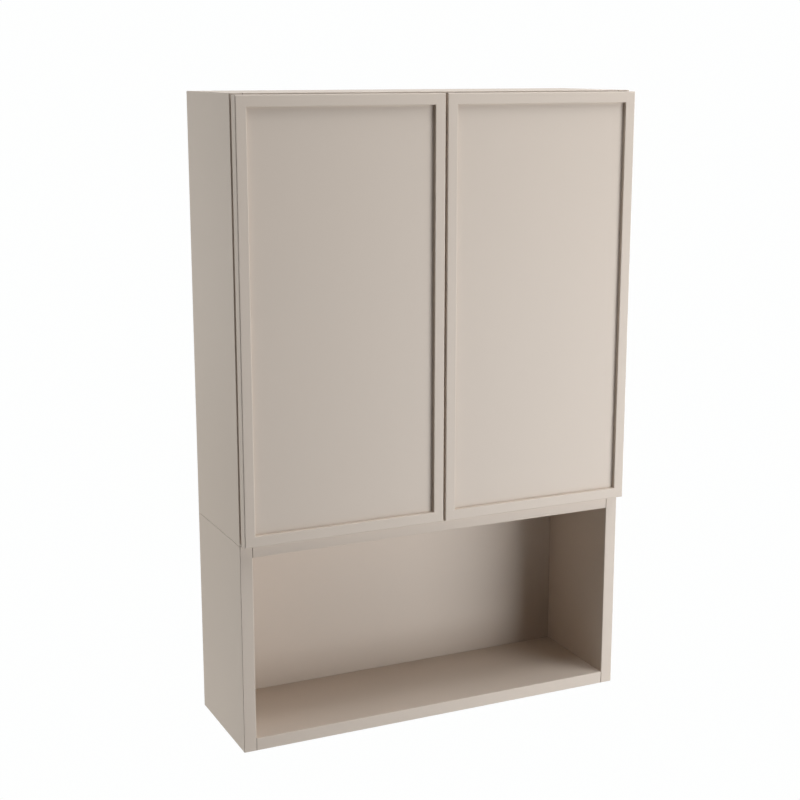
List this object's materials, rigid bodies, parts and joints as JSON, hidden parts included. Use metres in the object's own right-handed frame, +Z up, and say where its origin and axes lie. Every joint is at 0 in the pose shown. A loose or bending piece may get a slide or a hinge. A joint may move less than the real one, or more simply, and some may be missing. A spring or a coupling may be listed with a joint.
{
  "type": "wall-mounted bathroom cabinet",
  "caption": "Wall-hung bathroom cabinet with hinged framed doors over an open shelf unit, on concealed hinges with push latches.",
  "frame": {"origin": "centre of the upper unit's four wall screws, in the wall plane", "axes": "+X to the right seen from the front, +Y back into the wall, +Z up"},
  "size_m": [0.61, 0.2, 0.915],
  "materials": {
    "painted_board": "satin paint",
    "bare_wood": "unfinished",
    "fitting_steel": "nickel plated, satin",
    "latch_plastic": "matte"
  },
  "bodies": {
    "cabinet": {"upper_left_side": "painted_board", "upper_right_side": "painted_board", "upper_top": "painted_board", "upper_bottom": "painted_board", "upper_back": "painted_board", "shelf": "painted_board", "lower_left_side": "painted_board", "lower_right_side": "painted_board", "lower_top": "painted_board", "lower_bottom": "painted_board", "lower_back": "painted_board", "top_hanging_rail": "bare_wood", "middle_hanging_rail": "bare_wood", "lower_hanging_rail": "bare_wood", "dowels": "bare_wood", "rail_dowels": "bare_wood", "shelf_pins": "fitting_steel", "cam_locks": "fitting_steel", "cam_bolts": "fitting_steel", "connector_sleeves": "fitting_steel", "connector_bolts": "fitting_steel", "latch_screws": "fitting_steel", "latch_housings": "latch_plastic", "left_hinge_arms": "fitting_steel", "left_mounting_plates": "fitting_steel", "left_plate_screws": "fitting_steel", "left_arm_screws": "fitting_steel", "right_hinge_arms": "fitting_steel", "right_mounting_plates": "fitting_steel", "right_plate_screws": "fitting_steel", "right_arm_screws": "fitting_steel"},
    "left_door": {"left_door_outer_stile": "painted_board", "left_door_inner_stile": "painted_board", "left_door_top_rail": "painted_board", "left_door_bottom_rail": "painted_board", "left_door_panel": "painted_board", "left_strike_plate": "fitting_steel", "left_strike_screw": "fitting_steel", "left_hinge_brackets": "fitting_steel", "left_hinge_pins": "fitting_steel", "left_bracket_screws": "fitting_steel"},
    "right_door": {"right_door_outer_stile": "painted_board", "right_door_inner_stile": "painted_board", "right_door_top_rail": "painted_board", "right_door_bottom_rail": "painted_board", "right_door_panel": "painted_board", "right_strike_plate": "fitting_steel", "right_strike_screw": "fitting_steel", "right_hinge_brackets": "fitting_steel", "right_hinge_pins": "fitting_steel", "right_bracket_screws": "fitting_steel"},
    "left_latch_plunger": {"left_latch_plunger": "latch_plastic", "left_latch_magnet": "fitting_steel"},
    "right_latch_plunger": {"right_latch_plunger": "latch_plastic", "right_latch_magnet": "fitting_steel"}
  },
  "joints": [
    {"name": "left_door_hinge", "type": "hinge", "parent": "cabinet", "child": "left_door", "pos_m": [-0.2985, -0.1902, 0], "axis": [0, 0, -1], "range_deg": [0, 95]},
    {"name": "right_door_hinge", "type": "hinge", "parent": "cabinet", "child": "right_door", "pos_m": [0.2985, -0.1902, 0], "axis": [0, 0, 1], "range_deg": [0, 95]},
    {"name": "left_latch_slide", "type": "slide", "parent": "cabinet", "child": "left_latch_plunger", "axis": [0, -1, 0], "range_m": [0, 0.014]},
    {"name": "right_latch_slide", "type": "slide", "parent": "cabinet", "child": "right_latch_plunger", "axis": [0, -1, 0], "range_m": [0, 0.014]}
  ],
  "couplings": [
    {"joint": "left_latch_slide", "follows": "left_door_hinge", "m_per_rad": 0.00844},
    {"joint": "right_latch_slide", "follows": "right_door_hinge", "m_per_rad": 0.00844}
  ]
}
